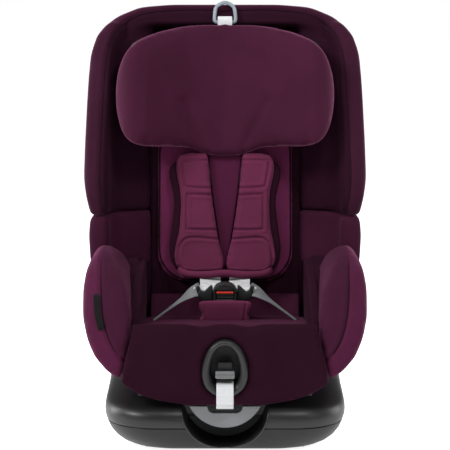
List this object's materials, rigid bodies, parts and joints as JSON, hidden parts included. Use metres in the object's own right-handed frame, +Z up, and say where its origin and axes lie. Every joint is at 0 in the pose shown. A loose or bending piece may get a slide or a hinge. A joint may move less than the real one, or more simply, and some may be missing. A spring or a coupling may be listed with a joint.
{
  "type": "convertible child car seat",
  "caption": "Reclining child car seat with wings, sliding headrest, five-point harness and ISOFIX base.",
  "frame": {"origin": "middle of the footprint box, on the surface the base stands on", "axes": "+Z up, -Y towards the front that the child faces, +X to the right as seen from the front"},
  "size_m": [0.45, 0.5494, 0.6641],
  "materials": {
    "fabric_plum": "matte",
    "fabric_dark_plum": "matte",
    "fabric_light_plum": "matte",
    "plastic_black": "satin",
    "plastic_inner": "matte",
    "plastic_grey": "satin",
    "webbing_grey": "matte",
    "steel": "satin",
    "red_plastic": "gloss",
    "rubber_black": "matte",
    "label_black": "matte"
  },
  "bodies": {
    "base": {"base_lower_shell": "plastic_black", "base_upper_shell": "plastic_black", "cradle_deck": "plastic_black", "recess_liner": "plastic_inner", "recline_rail_left": "steel", "recline_rail_right": "steel", "recline_rack": "steel", "isofix_sleeve_left": "plastic_inner", "isofix_sleeve_right": "plastic_inner", "foot_strip": "rubber_black"},
    "isofix": {"isofix_crossbar": "steel", "isofix_arm_left": "steel", "isofix_arm_right": "steel", "isofix_housing_left": "plastic_inner", "isofix_housing_right": "plastic_inner"},
    "jaw_left": {"isofix_jaw_left": "steel"},
    "jaw_right": {"isofix_jaw_right": "steel"},
    "release_left": {"isofix_button_left": "red_plastic"},
    "release_right": {"isofix_button_right": "red_plastic"},
    "handle": {"recline_handle": "plastic_grey"},
    "catch": {"recline_catch": "steel"},
    "buckle_press": {"buckle_button": "red_plastic"},
    "tongue_left": {"buckle_tongue_left": "plastic_inner"},
    "tongue_right": {"buckle_tongue_right": "plastic_inner"},
    "adjuster": {"adjuster_lever": "plastic_grey"},
    "headrest": {"headrest_cushion": "fabric_plum", "headrest_shell": "plastic_inner", "headrest_carrier": "plastic_inner", "chest_pad_left": "fabric_light_plum", "chest_pad_right": "fabric_light_plum"},
    "ring": {"release_ring": "plastic_grey", "ring_strap": "webbing_grey", "headrest_latch": "steel"},
    "seat": {"seat_pan": "plastic_inner", "back_shell": "plastic_black", "tether_bracket": "steel", "side_shell_left": "plastic_black", "side_shell_right": "plastic_black", "slider_shoe_left": "plastic_grey", "slider_shoe_right": "plastic_grey", "wing_cover": "fabric_plum", "side_cover_left": "fabric_dark_plum", "side_cover_right": "fabric_dark_plum", "back_pad": "fabric_dark_plum", "back_insert": "fabric_plum", "seat_cushion": "fabric_dark_plum", "front_apron": "fabric_dark_plum", "thigh_bolster_left": "fabric_plum", "thigh_bolster_right": "fabric_plum", "side_tag": "label_black", "shoulder_strap_left": "webbing_grey", "shoulder_strap_right": "webbing_grey", "lap_strap_left": "webbing_grey", "lap_strap_right": "webbing_grey", "buckle_housing": "plastic_black", "crotch_strap": "webbing_grey", "crotch_pad": "fabric_light_plum", "adjuster_bezel": "plastic_black", "adjuster_housing": "plastic_inner", "adjuster_strap": "webbing_grey"}
  },
  "joints": [
    {"name": "recline", "type": "hinge", "parent": "base", "child": "seat", "pos_m": [0, -0.068, 0.42], "axis": [-1, 0, 0], "range_deg": [0, 13]},
    {"name": "isofix_extend", "type": "slide", "parent": "base", "child": "isofix", "axis": [0, 1, 0], "range_m": [0, 0.09]},
    {"name": "handle_pull", "type": "slide", "parent": "seat", "child": "handle", "axis": [0, -1, 0], "range_m": [0, 0.015], "stiffness_N_per_m": 600},
    {"name": "catch_lift", "type": "slide", "parent": "seat", "child": "catch", "axis": [0, 0, 1], "range_m": [0, 0.0026]},
    {"name": "buckle_press", "type": "slide", "parent": "seat", "child": "buckle_press", "axis": [0, 1, 0], "range_m": [0, 0.005], "stiffness_N_per_m": 800},
    {"name": "tongue_left_out", "type": "slide", "parent": "seat", "child": "tongue_left", "axis": [0, 0, 1], "range_m": [0, 0.03]},
    {"name": "tongue_right_out", "type": "slide", "parent": "seat", "child": "tongue_right", "axis": [0, 0, 1], "range_m": [0, 0.03]},
    {"name": "adjuster_press", "type": "hinge", "parent": "seat", "child": "adjuster", "pos_m": [0, -0.234, 0.122], "axis": [1, 0, 0], "range_deg": [0, 8], "stiffness_Nm_per_rad": 0.6},
    {"name": "headrest_height", "type": "slide", "parent": "seat", "child": "headrest", "axis": [0, 0.2504, 0.9682], "range_m": [0, 0.12]},
    {"name": "ring_pull", "type": "slide", "parent": "headrest", "child": "ring", "axis": [0, 0.2504, 0.9682], "range_m": [0, 0.008], "stiffness_N_per_m": 600},
    {"name": "jaw_left_open", "type": "hinge", "parent": "isofix", "child": "jaw_left", "pos_m": [-0.14, 0.238, 0.074], "axis": [1, 0, 0], "range_deg": [0, 25], "stiffness_Nm_per_rad": 0.3},
    {"name": "release_left_slide", "type": "slide", "parent": "isofix", "child": "release_left", "axis": [0, -1, 0], "range_m": [0, 0.0041]},
    {"name": "jaw_right_open", "type": "hinge", "parent": "isofix", "child": "jaw_right", "pos_m": [0.14, 0.238, 0.074], "axis": [1, 0, 0], "range_deg": [0, 25], "stiffness_Nm_per_rad": 0.3},
    {"name": "release_right_slide", "type": "slide", "parent": "isofix", "child": "release_right", "axis": [0, -1, 0], "range_m": [0, 0.0041]}
  ],
  "couplings": [
    {"joint": "catch_lift", "follows": "handle_pull", "ratio": 0.1733},
    {"joint": "release_left_slide", "follows": "jaw_left_open", "m_per_rad": 0.0092},
    {"joint": "release_right_slide", "follows": "jaw_right_open", "m_per_rad": 0.0092}
  ]
}
